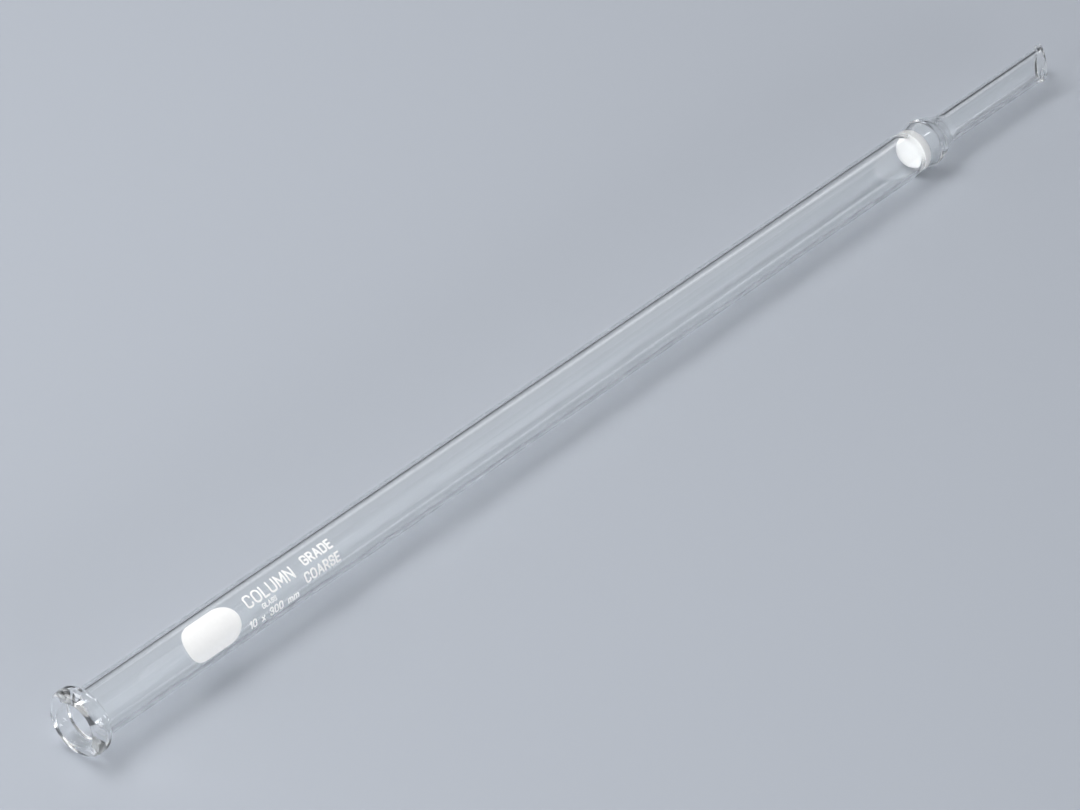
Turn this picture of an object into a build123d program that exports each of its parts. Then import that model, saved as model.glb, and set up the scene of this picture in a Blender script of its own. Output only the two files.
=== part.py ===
"""Glass chromatography column with a sintered disc and an oblique drip tip.

Units are millimetres. The column lies along +X with its mouth at low X, +Z is up,
and the origin is on the surface it lies on, below the middle of its length.
"""
import os
from math import cos, radians, sin

from build123d import *

os.makedirs("parts", exist_ok=True)

# --- driving dimensions: distances along the column run from the mouth face ----
bore_r = 5.0             # bore of the column tube
tube_r = 6.0             # outside of the column tube
bead_r = 8.1             # outside of the rolled rim at the mouth
bead_length = 4.3
bead_front_round = 1.9
bead_back_round = 1.5
bead_lip_round = 0.9     # inner edge of the mouth
bead_root_round = 0.5    # hollow corner between the bead and the tube
bead_end = 6.0           # where the bead piece stops and the plain tube starts

stem_r = 4.0
stem_bore_r = 3.0

column_length = 300.0    # mouth face to the front face of the disc
disc_r = 4.5
disc_thickness = 2.6
seal_start = 294.0       # where the plain tube stops and the sealed zone starts
seal_end = 316.0         # where the shoulder has run out into the drip stem
# outside of the sealed zone: corner from the mouth, radius, rounding of the corner
neck_start = (297.6, tube_r, 16.0)
neck = (300.8, 5.45, 10.0)
crest = (305.9, 6.46, 3.0)
shoulder = (308.3, 6.05, 20.0)
shoulder_end = (314.2, stem_r, 8.0)
# inside of the sealed zone, in front of the disc and behind it
pinch_start = (297.4, bore_r, 8.0)
chamber = (305.9, 5.4, 2.0)
funnel = (307.9, 5.0, 10.0)
funnel_end = (313.2, stem_bore_r, 5.0)

tip_at = 358.5           # where the oblique cut crosses the axis
tip_cut = 45.0           # angle of the cut away from square, long side to +Y
lip_centre_r = 3.82      # middle of the fire-polished lip
lip_r = 0.78             # its round section, just clear of the stem's bore
lip_setback = 0.35       # how far the plain tube end stops short of the lip

enamel = 0.05            # thickness of the fired white enamel
spot_at = 38.5
spot_arc = 4.4           # arc heights are measured up the tube from its -Y side
spot_length = 16.4
spot_width = 9.5
spot_corner = 4.7
spot_steps = 12          # points along each round end of the spot

# rows of print: words, start from the mouth, arc height of the baseline, cap height,
# stroke weight
size_rows = [
    ("COLUMN", 50.0, 4.5, 2.7, 0.46),
    ("GLASS", 53.4, 2.6, 1.0, 0.22),
    ("10 x 300 mm", 48.6, -0.05, 1.75, 0.37),
]
grade_rows = [
    ("GRADE", 68.7, 5.4, 2.05, 0.48),
    ("COARSE", 67.2, 1.8, 2.05, 0.46),
]
corner_share = 0.22      # corner radius of open letters, as a share of the cap height
ring_share = 0.46        # corner radius of closed letters, as a share of their width
letter_gap = 0.32        # space between letters, as a share of the cap height
word_space = 0.75        # extra space between words, likewise

# --- derived --------------------------------------------------------------------
overall = tip_at + lip_centre_r + lip_r
mouth_x = -overall / 2
axis_z = bead_r
tube_axis = Axis((0, 0, axis_z), (1, 0, 0))
enamel_r = tube_r + enamel
disc_back = column_length + disc_thickness
# here local x is the distance from the mouth and local y the radius
profile = Plane(origin=(mouth_x, 0, axis_z), x_dir=(1, 0, 0), z_dir=(0, -1, 0))
across = Plane(origin=(mouth_x, 0, axis_z), x_dir=(0, -1, 0), z_dir=(1, 0, 0))


def facing(arc):
    """Plane on the tube axis whose normal leaves the tube at this arc height."""
    turn = arc / tube_r
    return Plane(
        origin=(mouth_x, 0, axis_z), x_dir=(1, 0, 0), z_dir=(0, -cos(turn), sin(turn))
    )


# oblique plane of the drip tip, local x up and local y along the slope to +Y
cut = Plane(
    origin=(mouth_x + tip_at, 0, axis_z),
    x_dir=(0, 0, 1),
    z_dir=(cos(radians(tip_cut)), -sin(radians(tip_cut)), 0),
)

# the spot's two round ends, foreshortened as they wrap around the tube
spot_far_end, spot_near_end = [], []
for step in range(spot_steps + 1):
    angle = radians(90 - 180 * step / spot_steps)
    height = tube_r * sin(spot_width / 2 * sin(angle) / tube_r)
    reach = spot_length / 2 - spot_corner + spot_corner * cos(angle)
    spot_far_end.append((spot_at + reach, height))
    spot_near_end.append((spot_at - reach, -height))

# Stroke letters on a cell one unit high: cell width, then strokes of joined points. A
# "round" stroke has rounded corners, and a "ring" is closed as well.
glyphs = {
    "A": (0.72, [["line", (0, 0), (0.36, 1), (0.72, 0)], ["line", (0.12, 0.33), (0.60, 0.33)]]),
    "C": (0.62, [["round", (0.62, 0.76), (0.62, 1), (0, 1), (0, 0), (0.62, 0), (0.62, 0.24)]]),
    "D": (0.64, [["round", (0, 1), (0.64, 1), (0.64, 0), (0, 0)], ["line", (0, 0), (0, 1)]]),
    "E": (0.52, [["line", (0.52, 1), (0, 1), (0, 0), (0.52, 0)],
                 ["line", (0, 0.52), (0.46, 0.52)]]),
    "G": (0.66, [["round", (0.66, 0.76), (0.66, 1), (0, 1), (0, 0), (0.66, 0), (0.66, 0.46)],
                 ["line", (0.36, 0.46), (0.66, 0.46)]]),
    "L": (0.50, [["line", (0, 1), (0, 0), (0.50, 0)]]),
    "M": (0.80, [["line", (0, 0), (0, 1), (0.40, 0.25), (0.80, 1), (0.80, 0)]]),
    "N": (0.66, [["line", (0, 0), (0, 1), (0.66, 0), (0.66, 1)]]),
    "O": (0.68, [["ring", (0, 0), (0.68, 0), (0.68, 1), (0, 1)]]),
    "R": (0.60, [["round", (0, 1), (0.58, 1), (0.58, 0.46), (0, 0.46)],
                 ["line", (0, 0), (0, 1)], ["line", (0.30, 0.46), (0.60, 0)]]),
    "S": (0.58, [["round", (0.58, 0.76), (0.58, 1), (0, 1), (0, 0.52), (0.58, 0.52),
                  (0.58, 0), (0, 0), (0, 0.24)]]),
    "U": (0.64, [["round", (0, 1), (0, 0), (0.64, 0), (0.64, 1)]]),
    "0": (0.54, [["ring", (0, 0), (0.54, 0), (0.54, 1), (0, 1)]]),
    "1": (0.24, [["line", (0, 0.78), (0.24, 1), (0.24, 0)]]),
    "3": (0.52, [["round", (0, 0.76), (0, 1), (0.52, 1), (0.52, 0.52), (0.16, 0.52)],
                 ["round", (0.16, 0.52), (0.52, 0.52), (0.52, 0), (0, 0), (0, 0.24)]]),
    "x": (0.44, [["line", (0, 0), (0.44, 0.60)], ["line", (0, 0.60), (0.44, 0)]]),
    "m": (0.76, [["round", (0, 0.60), (0.38, 0.60), (0.38, 0)],
                 ["round", (0.38, 0.60), (0.76, 0.60), (0.76, 0)], ["line", (0, 0), (0, 0.62)]]),
}


def rounded_run(start, *corners_and_end):
    """Line from start to end with an arc of its own radius at every corner between."""
    *corners, end = corners_and_end
    points = [start, *[(at, radius) for at, radius, _ in corners], end]
    return FilletPolyline(*points, radius=[rounding for _, _, rounding in corners])


def print_row(words, start, base, cap, weight):
    """Sketch of one row of stroke letters, seen straight on at its own arc height."""
    with BuildSketch(facing(base + cap / 2)) as row:
        pen = start
        for letter in words:
            if letter == " ":
                pen += word_space * cap
                continue
            cell, strokes = glyphs[letter]
            for kind, *spots in strokes:
                spots = [(pen + x * cap, (y - 0.5) * cap) for x, y in spots]
                if kind == "line":
                    for begin, finish in zip(spots, spots[1:]):
                        with BuildLine():
                            Line(begin, finish)
                        trace(line_width=weight)
                elif kind == "round":
                    with BuildLine():
                        FilletPolyline(*spots, radius=corner_share * cap)
                    trace(line_width=weight)
                    spots = [spots[0], spots[-1]]
                else:
                    with BuildLine():
                        FilletPolyline(*spots, radius=ring_share * cell * cap, close=True)
                    trace(line_width=weight)
                    continue
                with Locations(*spots):
                    Circle(weight / 2)
            pen += (cell + letter_gap) * cap
    return row.sketch


def enamel_skin():
    """Section of the layer the enamel lies in, one enamel thickness around the tube."""
    with BuildSketch(across) as skin:
        Circle(enamel_r)
        Circle(tube_r, mode=Mode.SUBTRACT)
    return skin.sketch


# --- glass: rolled rim, column tube, sealed zone, drip stem -----------------------
with BuildPart() as mouth_bead:
    with BuildSketch(profile):
        with BuildLine():
            Polyline(
                (0, bore_r), (0, bead_r), (bead_length, bead_r),
                (bead_length, tube_r), (bead_end, tube_r), (bead_end, bore_r), close=True,
            )
        make_face()
        for corner, radius in [
            ((0, bore_r), bead_lip_round),
            ((0, bead_r), bead_front_round),
            ((bead_length, bead_r), bead_back_round),
            ((bead_length, tube_r), bead_root_round),
        ]:
            fillet(vertices().sort_by_distance(Vector(*corner))[0], radius)
    revolve(axis=tube_axis)

with BuildPart() as column_tube:
    with BuildSketch(profile):
        with BuildLine():
            Polyline(
                (bead_end, bore_r), (bead_end, tube_r),
                (seal_start, tube_r), (seal_start, bore_r), close=True,
            )
        make_face()
    revolve(axis=tube_axis)

with BuildPart() as disc_seal:
    with BuildSketch(profile):
        with BuildLine():
            rounded_run(
                (seal_start, tube_r), neck_start, neck, crest, shoulder, shoulder_end,
                (seal_end, stem_r),
            )
            Line((seal_end, stem_r), (seal_end, stem_bore_r))
            rounded_run((seal_end, stem_bore_r), funnel_end, funnel, chamber, (disc_back, disc_r))
            Line((disc_back, disc_r), (column_length, disc_r))
            rounded_run((column_length, disc_r), pinch_start, (seal_start, bore_r))
            Line((seal_start, bore_r), (seal_start, tube_r))
        make_face()
    revolve(axis=tube_axis)

with BuildPart() as drip_stem:
    with BuildSketch(profile):
        with BuildLine():
            Polyline(
                (seal_end, stem_bore_r), (seal_end, stem_r),
                (overall, stem_r), (overall, stem_bore_r), close=True,
            )
        make_face()
    revolve(axis=tube_axis)
    split(bisect_by=cut.offset(-lip_setback * cos(radians(tip_cut))), keep=Keep.BOTTOM)
    with BuildLine(cut) as lip_path:
        EllipticalCenterArc(
            (0, 0), lip_centre_r, lip_centre_r / cos(radians(tip_cut)), arc_size=360
        )
    with BuildSketch(Plane(origin=lip_path.line @ 0, z_dir=lip_path.line % 0)):
        Circle(lip_r)
    sweep(path=lip_path.line)

# --- sintered disc ------------------------------------------------------------------
with BuildPart() as sintered_disc:
    with BuildSketch(across.offset(column_length)):
        Circle(disc_r)
    extrude(amount=disc_thickness)

# --- fired enamel: marking spot and two blocks of print ------------------------------
with BuildPart() as marking_spot:
    with BuildSketch(facing(spot_arc)):
        with BuildLine():
            Spline(*spot_far_end, tangents=[(1, 0), (-1, 0)])
            Line(spot_far_end[-1], spot_near_end[0])
            Spline(*spot_near_end, tangents=[(-1, 0), (1, 0)])
            Line(spot_near_end[-1], spot_far_end[0])
        make_face()
    extrude(amount=bead_r)
    extrude(enamel_skin(), amount=column_length, mode=Mode.INTERSECT)

with BuildPart() as print_size:
    for row in size_rows:
        extrude(print_row(*row), amount=bead_r)
    extrude(enamel_skin(), amount=column_length, mode=Mode.INTERSECT)

with BuildPart() as print_grade:
    for row in grade_rows:
        extrude(print_row(*row), amount=bead_r)
    extrude(enamel_skin(), amount=column_length, mode=Mode.INTERSECT)

# --- export ---------------------------------------------------------------------------
pieces = {
    "mouth_bead": mouth_bead,
    "column_tube": column_tube,
    "disc_seal": disc_seal,
    "drip_stem": drip_stem,
    "sintered_disc": sintered_disc,
    "marking_spot": marking_spot,
    "print_size": print_size,
    "print_grade": print_grade,
}
for name, piece in pieces.items():
    piece.part.label = name
    export_step(piece.part, f"parts/{name}.step")
    box = piece.part.bounding_box()
    print(name, len(piece.part.solids()), round(piece.part.volume, 2), box)
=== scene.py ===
import math

import bpy
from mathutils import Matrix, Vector, noise


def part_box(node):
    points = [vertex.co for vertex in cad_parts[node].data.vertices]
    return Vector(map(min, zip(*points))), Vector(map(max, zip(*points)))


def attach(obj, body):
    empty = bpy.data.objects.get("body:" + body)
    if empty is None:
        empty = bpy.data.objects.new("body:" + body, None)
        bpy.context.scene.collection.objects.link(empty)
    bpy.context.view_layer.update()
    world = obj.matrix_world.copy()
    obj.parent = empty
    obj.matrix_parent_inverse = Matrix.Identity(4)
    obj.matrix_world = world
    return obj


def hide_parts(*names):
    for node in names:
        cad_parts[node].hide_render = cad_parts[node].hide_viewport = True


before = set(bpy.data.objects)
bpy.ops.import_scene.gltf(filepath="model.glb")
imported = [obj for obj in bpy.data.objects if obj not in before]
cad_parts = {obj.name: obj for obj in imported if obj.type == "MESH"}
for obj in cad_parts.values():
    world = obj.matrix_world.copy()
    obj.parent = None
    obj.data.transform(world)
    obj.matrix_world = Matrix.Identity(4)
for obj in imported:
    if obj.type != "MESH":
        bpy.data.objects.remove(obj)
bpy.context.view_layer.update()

# A glass chromatography column lying on a pale floor. All lengths are metres, in the
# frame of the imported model: +X runs from the mouth to the drip tip, and +Z is up.
MM = 0.001

# --- sizes from the frame -----------------------------------------------------------
bead_low, bead_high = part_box("mouth_bead")
tube_low, tube_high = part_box("column_tube")
seal_low, seal_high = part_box("disc_seal")
disc_low, disc_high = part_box("sintered_disc")

MOUTH_X = bead_low[0]
AXIS_Z = (tube_low[2] + tube_high[2]) / 2
BEAD_R = (bead_high[2] - bead_low[2]) / 2
TUBE_R = (tube_high[2] - tube_low[2]) / 2
CREST_R = (seal_high[2] - seal_low[2]) / 2
DISC_R = (disc_high[2] - disc_low[2]) / 2
# distances along the column, from the mouth
BEAD_END = bead_high[0] - MOUTH_X
SEAL_START = seal_low[0] - MOUTH_X
SEAL_END = seal_high[0] - MOUTH_X
DISC_FRONT = disc_low[0] - MOUTH_X
DISC_BACK = disc_high[0] - MOUTH_X

# --- sizes of the glass between those, as in the CAD model ----------------------------
BORE_R = 5.0 * MM
BEAD_LENGTH = 4.3 * MM
BEAD_FRONT_ROUND = 1.9 * MM
BEAD_BACK_ROUND = 1.5 * MM
BEAD_LIP_ROUND = 0.9 * MM
BEAD_ROOT_ROUND = 0.5 * MM
STEM_R, STEM_BORE_R = 4.0 * MM, 3.0 * MM
TIP_AT = 358.5 * MM
LIP_CENTRE_R, LIP_R = 3.82 * MM, 0.78 * MM
LIP_BLEND = 2.2 * MM      # how far before the tip the stem starts to swell into its lip
# corners of the sealed zone in mm: distance from the mouth, radius, rounding
SEAL_OUTSIDE = ((297.6, 6.0, 16), (300.8, 5.45, 10), (305.9, 6.46, 3), (308.3, 6.05, 20),
                (314.2, 4.0, 8))
SEAL_INSIDE_FRONT = ((297.4, 5.0, 8),)
SEAL_INSIDE_BACK = ((305.9, 5.4, 2), (307.9, 5.0, 10), (313.2, 3.0, 5))
CREST_AT = SEAL_OUTSIDE[2][0] * MM

# --- how the glass is meshed -----------------------------------------------------------
AROUND = 168              # points in each ring
TUBE_ROWS, STEM_ROWS = 110, 24
ROW = 0.4 * MM            # distance between rings on the straights of the sealed zone
ARC_ROWS = 10             # rings on each of its rounded corners
SKIN = 0.010 * MM         # the glass reaches this far into the enamel, so no gap shows
FUSED = 0.03 * MM         # and the disc this far into the glass

# the faint ribs that drawing leaves in a tube: their height, how many stand around it,
# how they change along it, and where they fade out so that the rings of two pieces meet
RIB_HEIGHT = 0.003 * MM
RIBS, FINE_RIBS, SLOW_RIBS = 5, 9, 2
FINE_SHARE, SLOW_SHARE = 0.6, 0.8
FINE_TWIST, SLOW_TWIST = 40 * MM, 13 * MM
RIB_FADE = 10 * MM
# surfaces below this radius, which are the bore and the stem, have them out of step
SHIFTED_BELOW = TUBE_R - 0.5 * MM
SHIFT, FINE_SHIFT = 1.7, 2.1


# --- profiles: points of (distance from the mouth, radius, slant) --------------------
def arc(x, r, radius, start, end, steps):
    """An arc about (x, r), with its angles in degrees."""
    points = []
    for i in range(steps + 1):
        angle = math.radians(start + (end - start) * i / steps)
        points.append((x + radius * math.cos(angle), r + radius * math.sin(angle), 0))
    return points


def ease(x0, r0, x1, r1, steps, slant=0):
    """A smooth S from one radius to another, level at both ends."""
    points = []
    for i in range(steps + 1):
        t = i / steps
        points.append((x0 + (x1 - x0) * t, r0 + (r1 - r0) * smoothstep(t), slant))
    return points


def level(x0, x1, r, steps, slant0=0, slant1=0):
    """A straight run, which may take up the slant of the tip on its way."""
    points = []
    for i in range(steps + 1):
        t = i / steps
        points.append((x0 + (x1 - x0) * t, r, slant0 + (slant1 - slant0) * t))
    return points


def rounded(start, corners, end):
    """Straight rows of points with an arc of its own radius at every corner."""
    points = [Vector(start)]

    def straight(to):
        here = points[-1]
        rows = max(round((to - here).length / ROW), 1)
        points.extend(here.lerp(to, i / rows) for i in range(1, rows + 1))

    corners = [(Vector((x, r)) * MM, rounding * MM) for x, r, rounding in corners]
    targets = [corner for corner, rounding in corners[1:]] + [Vector(end)]
    for (corner, rounding), target in zip(corners, targets):
        into = (corner - points[-1]).normalized()
        out = (target - corner).normalized()
        turn = into.angle(out)
        straight(corner - into * rounding * math.tan(turn / 2))
        begin, inward = points[-1], (out - into * into.dot(out)).normalized()
        for i in range(1, ARC_ROWS + 1):
            angle = turn * i / ARC_ROWS
            points.append(begin + rounding * (math.sin(angle) * into
                                              + (1 - math.cos(angle)) * inward))
    straight(Vector(end))
    return [(x, r, 0) for x, r in points]


def joined(*runs):
    """Runs that follow each other. A point that two of them share is kept once."""
    points = list(runs[0])
    for run in runs[1:]:
        touching = math.dist(points[-1], run[0]) < 0.001 * MM
        points += run[1:] if touching else run
    return points


def smoothstep(t):
    t = min(max(t, 0.0), 1.0)
    return t * t * (3 - 2 * t)


def ribs(x, angle, r):
    """How far the ribs lift the surface of radius r at one point."""
    shift = SHIFT if r < SHIFTED_BELOW else 0.0
    broad = math.sin(RIBS * angle + shift)
    fine = FINE_SHARE * math.sin(FINE_RIBS * angle + FINE_SHIFT * shift + x / FINE_TWIST)
    slow = SLOW_SHARE * math.sin(x / SLOW_TWIST + SLOW_RIBS * angle + shift)
    return RIB_HEIGHT * (broad + fine + slow) / (1 + FINE_SHARE + SLOW_SHARE)


# --- meshes -----------------------------------------------------------------------------
def add_piece(name, verts, faces, material, node):
    """Makes one piece, which rides on the body and stands for its CAD node."""
    mesh = bpy.data.meshes.new(name)
    mesh.from_pydata(verts, [], faces)
    mesh.update()
    mesh.materials.append(material)
    piece = bpy.data.objects.new(name, mesh)
    bpy.context.scene.collection.objects.link(piece)
    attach(piece, "root")
    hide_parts(node)
    return piece


def glass_wall(name, node, *runs, ribbed=True):
    """One length of the glass body: its surfaces, open where the next length goes on.

    A slant of 1 puts a row on the plane of the oblique tip, and 0 square to the axis.
    """
    low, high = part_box(node)
    start, end = low[0] - MOUTH_X, high[0] - MOUTH_X
    verts, faces = [], []
    for run in runs:
        first = len(verts)
        for x, r, slant in run:
            hold = smoothstep(min(x - start, end - x) / RIB_FADE) if ribbed else 0.0
            for j in range(AROUND):
                angle = 2 * math.pi * j / AROUND
                radius = r + hold * (1 - slant) * ribs(x, angle, r)
                along = x + slant * LIP_CENTRE_R * math.cos(angle)
                y, z = radius * math.cos(angle), radius * math.sin(angle)
                verts.append((MOUTH_X + along, y, AXIS_Z + z))
        for i in range(len(run) - 1):
            here, there = first + i * AROUND, first + (i + 1) * AROUND
            for j in range(AROUND):
                n = (j + 1) % AROUND
                faces.append((here + j, here + n, there + n, there + j))
    piece = add_piece(name, verts, faces, GLASS, node)
    for polygon in piece.data.polygons:
        polygon.use_smooth = True


# --- materials --------------------------------------------------------------------------
def new_material(name):
    material = bpy.data.materials.new(name)
    material.use_nodes = True
    return material, material.node_tree, material.node_tree.nodes["Principled BSDF"]


def clear_glass():
    """Borosilicate glass, with faint streaks along the tube from drawing it."""
    material, tree, shader = new_material("clear_glass")
    shader.inputs["Base Color"].default_value = (0.994, 1.0, 0.997, 1)
    shader.inputs["Roughness"].default_value = 0.0
    shader.inputs["IOR"].default_value = 1.474
    shader.inputs["Transmission Weight"].default_value = 1.0
    place = tree.nodes.new("ShaderNodeTexCoord")
    stretch = tree.nodes.new("ShaderNodeMapping")
    stretch.inputs["Scale"].default_value = (12, 420, 420)
    streaks = tree.nodes.new("ShaderNodeTexNoise")
    streaks.inputs["Scale"].default_value = 1.0
    streaks.inputs["Detail"].default_value = 2.0
    bump = tree.nodes.new("ShaderNodeBump")
    bump.inputs["Strength"].default_value = 0.03
    bump.inputs["Distance"].default_value = 0.03 * MM
    tree.links.new(place.outputs["Object"], stretch.inputs["Vector"])
    tree.links.new(stretch.outputs["Vector"], streaks.inputs["Vector"])
    tree.links.new(streaks.outputs["Fac"], bump.inputs["Height"])
    tree.links.new(bump.outputs["Normal"], shader.inputs["Normal"])
    return material


def grainy(name, dark, light, texture, scale, roughness, bump_strength, bump_height):
    """A white material whose tone and surface vary with the same fine pattern."""
    material, tree, shader = new_material(name)
    shader.inputs["Roughness"].default_value = roughness
    place = tree.nodes.new("ShaderNodeTexCoord")
    pattern = tree.nodes.new(texture)
    pattern.inputs["Scale"].default_value = scale
    tone = tree.nodes.new("ShaderNodeValToRGB")
    tone.color_ramp.elements[0].color = dark + (1,)
    tone.color_ramp.elements[1].color = light + (1,)
    tone.color_ramp.elements[1].position = 0.7
    bump = tree.nodes.new("ShaderNodeBump")
    bump.inputs["Strength"].default_value = bump_strength
    bump.inputs["Distance"].default_value = bump_height
    tree.links.new(place.outputs["Object"], pattern.inputs["Vector"])
    tree.links.new(pattern.outputs[0], tone.inputs["Fac"])
    tree.links.new(tone.outputs["Color"], shader.inputs["Base Color"])
    tree.links.new(pattern.outputs[0], bump.inputs["Height"])
    tree.links.new(bump.outputs["Normal"], shader.inputs["Normal"])
    return material


def translucent(material, depth):
    """Lets light into a material, to come out again about that far away."""
    shader = material.node_tree.nodes["Principled BSDF"]
    shader.inputs["Subsurface Weight"].default_value = 1.0
    shader.inputs["Subsurface Radius"].default_value = (1, 1, 1)
    shader.inputs["Subsurface Scale"].default_value = depth


GLASS = clear_glass()
SINTER = grainy("sintered_glass", dark=(0.93, 0.93, 0.92), light=(0.98, 0.98, 0.975),
                texture="ShaderNodeTexVoronoi", scale=3600, roughness=0.8,
                bump_strength=0.4, bump_height=0.06 * MM)
translucent(SINTER, 1.5 * MM)
ENAMEL = grainy("white_enamel", dark=(0.90, 0.90, 0.89), light=(0.95, 0.95, 0.94),
                texture="ShaderNodeTexNoise", scale=900, roughness=0.35,
                bump_strength=0.15, bump_height=0.02 * MM)

# --- the glass body, in its four lengths ------------------------------------------------
skin_r = TUBE_R + SKIN
root_x = BEAD_LENGTH + BEAD_ROOT_ROUND
glass_wall("mouth_bead_glass", "mouth_bead", joined(
    level(BEAD_END, BEAD_LIP_ROUND, BORE_R, steps=8),
    arc(BEAD_LIP_ROUND, BORE_R + BEAD_LIP_ROUND, BEAD_LIP_ROUND, -90, -180, steps=10),
    arc(BEAD_FRONT_ROUND, BEAD_R - BEAD_FRONT_ROUND, BEAD_FRONT_ROUND, 180, 90, steps=16),
    arc(BEAD_LENGTH - BEAD_BACK_ROUND, BEAD_R - BEAD_BACK_ROUND, BEAD_BACK_ROUND,
        90, 0, steps=12),
    arc(root_x, skin_r + BEAD_ROOT_ROUND, BEAD_ROOT_ROUND, 180, 270, steps=8),
    level(root_x, BEAD_END, skin_r, steps=3),
), ribbed=False)

glass_wall("column_tube_glass", "column_tube",
           level(BEAD_END, SEAL_START, skin_r, TUBE_ROWS),
           level(SEAL_START, BEAD_END, BORE_R, TUBE_ROWS))

inside_front = rounded((SEAL_START, BORE_R), SEAL_INSIDE_FRONT, (DISC_FRONT, DISC_R))
seat = level(DISC_FRONT, DISC_BACK, DISC_R, steps=6)
inside_back = rounded((DISC_BACK, DISC_R), SEAL_INSIDE_BACK, (SEAL_END, STEM_BORE_R))
glass_wall("disc_seal_glass", "disc_seal",
           rounded((SEAL_START, skin_r), SEAL_OUTSIDE, (SEAL_END, STEM_R)),
           joined(inside_front, seat, inside_back)[::-1], ribbed=False)

blend_x = TIP_AT - LIP_BLEND
lip = [(x, r, 1) for x, r, slant in arc(TIP_AT, LIP_CENTRE_R, LIP_R, 90, -90, steps=18)]
glass_wall("drip_stem_glass", "drip_stem", joined(
    level(SEAL_END, blend_x, STEM_R, STEM_ROWS, 0, 1),
    ease(blend_x, STEM_R, TIP_AT, LIP_CENTRE_R + LIP_R, steps=10, slant=1),
    lip,
    ease(TIP_AT, LIP_CENTRE_R - LIP_R, blend_x, STEM_BORE_R, steps=6, slant=1),
    level(blend_x, SEAL_END, STEM_BORE_R, STEM_ROWS, 1, 0),
))

# --- the sintered disc ------------------------------------------------------------------
RING = 0.09 * MM          # distance between the rings of points on its faces
RING_STEP = 6             # how many more points each ring has than the one inside it
GRAIN = 0.30 * MM
GRAIN_HEIGHT = 0.07 * MM
SWELL, GAP = 0.5, 0.9     # shares of that height: between grains, and down into the gaps


def grain_height(place):
    """Rounded grains, low in the gaps between them."""
    from_centre = min(noise.voronoi(place / GRAIN)[0][0], 1.0)
    return GRAIN_HEIGHT * (SWELL * noise.noise(place / GRAIN) - GAP * from_centre ** 2)


def sintered_disc():
    """A disc of grains of glass, a hair wider than its seat because it is fused in."""
    radius = DISC_R + FUSED
    rings = round(radius / RING)
    middle = (DISC_FRONT + DISC_BACK) / 2
    half = (DISC_BACK - DISC_FRONT) / 2
    verts, faces = [], []

    def face(side):
        """One flat end. Returns where its outer ring starts and how many points it has."""
        start = len(verts)
        for k in range(rings + 1):
            count = max(RING_STEP * k, 1)
            for j in range(count):
                angle = 2 * math.pi * j / count
                r = radius * k / rings
                y, z = r * math.cos(angle), r * math.sin(angle)
                rise = 0 if k == rings else grain_height(Vector((side * half, y, z)))
                verts.append((MOUTH_X + middle + side * (half + rise), y, AXIS_Z + z))
        for k in range(rings):
            inner, outer = max(RING_STEP * k, 1), RING_STEP * (k + 1)
            after = start + inner
            for j in range(outer):
                a, b = after + j, after + (j + 1) % outer
                here = start + (j * k // (k + 1)) % inner
                there = start + ((j + 1) * k // (k + 1)) % inner
                faces.append((a, b, here) if side > 0 else (b, a, here))
                if here != there:
                    faces.append((b, there, here) if side > 0 else (here, there, b))
            start = after
        return start, RING_STEP * rings

    front, count = face(-1)
    back, count = face(1)
    for j in range(count):
        n = (j + 1) % count
        faces.append((front + j, front + n, back + n, back + j))
    add_piece("sintered_disc_grains", verts, faces, SINTER, "sintered_disc")


sintered_disc()

# --- the enamel, carried over from the CAD model --------------------------------------------
for name in ("marking_spot", "print_size", "print_grade"):
    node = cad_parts[name]
    node.data.materials.clear()
    node.data.materials.append(ENAMEL)

# --- floor: it touches the column at the bead and at the crest of the sealed zone -----------
scene = bpy.context.scene
FLOOR_HALF = 4.0
bead_x = MOUTH_X + BEAD_LENGTH / 2
slope = (AXIS_Z - CREST_R) / (MOUTH_X + CREST_AT - bead_x)
floor_xy = [(-FLOOR_HALF, -FLOOR_HALF), (FLOOR_HALF, -FLOOR_HALF),
            (FLOOR_HALF, FLOOR_HALF), (-FLOOR_HALF, FLOOR_HALF)]
floor_mesh = bpy.data.meshes.new("floor")
floor_mesh.from_pydata([(x, y, (x - bead_x) * slope) for x, y in floor_xy], [], [(0, 1, 2, 3)])
floor = bpy.data.objects.new("floor", floor_mesh)
scene.collection.objects.link(floor)
floor_material, _, shader = new_material("floor")
shader.inputs["Base Color"].default_value = (0.40, 0.43, 0.48, 1)
shader.inputs["Roughness"].default_value = 0.6
floor_mesh.materials.append(floor_material)

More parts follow.
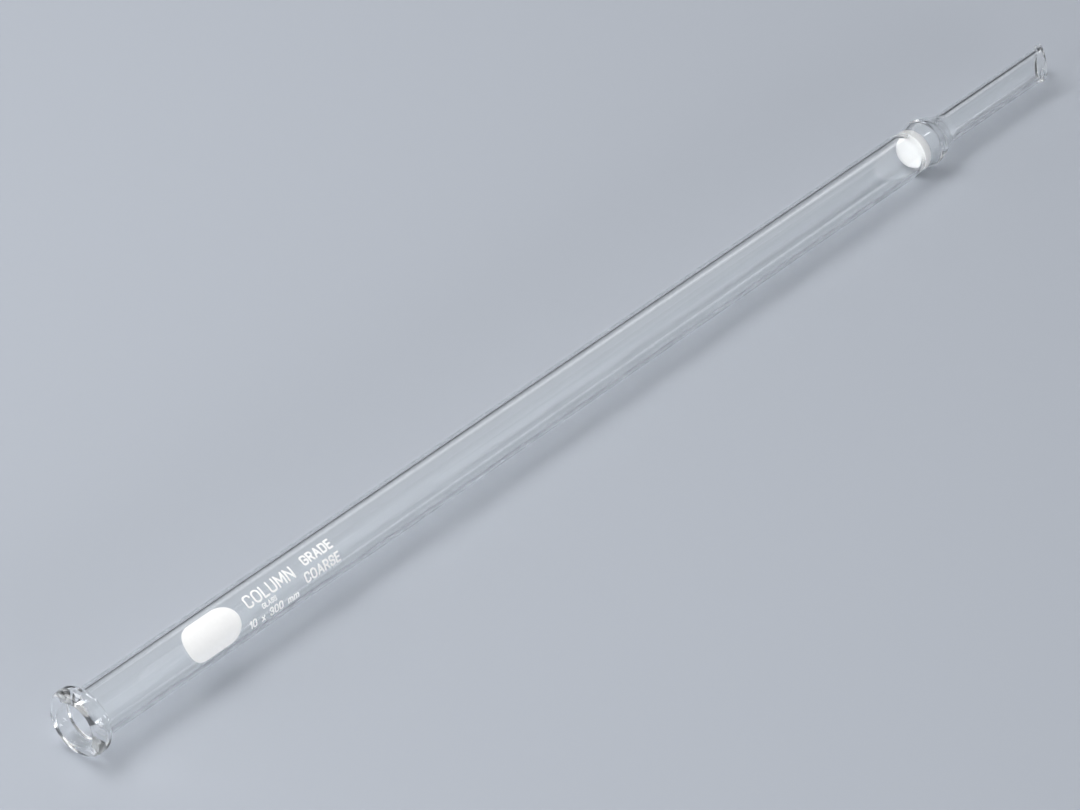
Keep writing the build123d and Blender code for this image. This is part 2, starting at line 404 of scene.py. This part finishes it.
# --- light ------------------------------------------------------------------------------------
world = bpy.data.worlds.new("studio")
world.use_nodes = True
background = world.node_tree.nodes["Background"]
background.inputs["Color"].default_value = (0.85, 0.9, 1.0, 1)
background.inputs["Strength"].default_value = 0.10
scene.world = world

# each softbox faces the origin: place, width, height, watts
SOFTBOXES = {
    "ceiling": ((0, 0, 4.0), 8.0, 8.0, 75),
    "top": ((-0.25, 0.45, 1.05), 0.8, 0.6, 9),
    "front": ((-0.30, -1.10, 0.17), 1.2, 0.28, 7.5),
    "mouth_side": ((-1.72, 0.80, 0.62), 2.4, 1.1, 31),
    "edge": ((0.85, 0.75, 0.75), 0.7, 0.25, 1.0),
}
for name, (place, width, height, watts) in SOFTBOXES.items():
    light = bpy.data.lights.new(name, "AREA")
    light.shape = "RECTANGLE"
    light.size, light.size_y, light.energy = width, height, watts
    lamp = bpy.data.objects.new(name, light)
    lamp.location = place
    lamp.rotation_euler = Vector(place).to_track_quat("Z", "Y").to_euler()
    scene.collection.objects.link(lamp)

# Light runs a long way along inside a glass wall before it comes out again, and what
# reaches the disc and the floor comes through clear glass, which stays sharp.
LIGHT_BOUNCES = 48
scene.cycles.max_bounces = LIGHT_BOUNCES
scene.cycles.transmission_bounces = LIGHT_BOUNCES
scene.cycles.glossy_bounces = LIGHT_BOUNCES
scene.cycles.blur_glossy = 0.1

# --- camera: a long lens, at the photograph's viewing angle ----------------------------------
LENS, SENSOR = 148.49, 36
AZIMUTH, ELEVATION = math.radians(-50.148), math.radians(34.925)
DISTANCE = 1.0389
AIM = Vector((MOUTH_X + 0.1543, 0.0003, AXIS_Z))
towards_camera = Vector((math.sin(AZIMUTH) * math.cos(ELEVATION),
                         -math.cos(AZIMUTH) * math.cos(ELEVATION),
                         math.sin(ELEVATION)))
camera_data = bpy.data.cameras.new("camera")
camera_data.lens, camera_data.sensor_width = LENS, SENSOR
camera_data.clip_start, camera_data.clip_end = 0.01, 20
camera = bpy.data.objects.new("camera", camera_data)
camera.location = AIM + towards_camera * DISTANCE
camera.rotation_euler = towards_camera.to_track_quat("Z", "Y").to_euler()
scene.collection.objects.link(camera)
scene.camera = camera
scene.view_settings.view_transform = "Standard"
